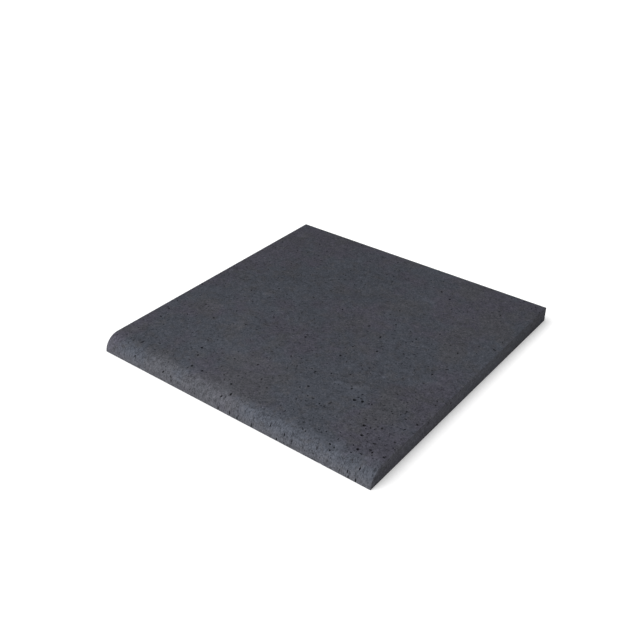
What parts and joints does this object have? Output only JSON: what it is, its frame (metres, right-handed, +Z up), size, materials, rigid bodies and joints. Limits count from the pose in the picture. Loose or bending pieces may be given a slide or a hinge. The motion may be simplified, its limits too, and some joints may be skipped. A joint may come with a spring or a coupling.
{
  "type": "pool coping stone",
  "caption": "Square pool coping slab of pitted anthracite concrete with a quarter-round nose along one edge and flat bed, back and end faces.",
  "frame": {"origin": "centre of the flat bed face, midway between the ends and midway from nose to back", "axes": "+Z up from the bed to the walking face, +X along the nose, -Y towards the rounded nose"},
  "size_m": [0.6, 0.6, 0.03],
  "materials": {
    "anthracite_concrete": "matt cast face, dark blue-grey, with open air pits"
  },
  "bodies": {
    "root": {"coping_slab": "anthracite_concrete"}
  },
  "joints": []
}
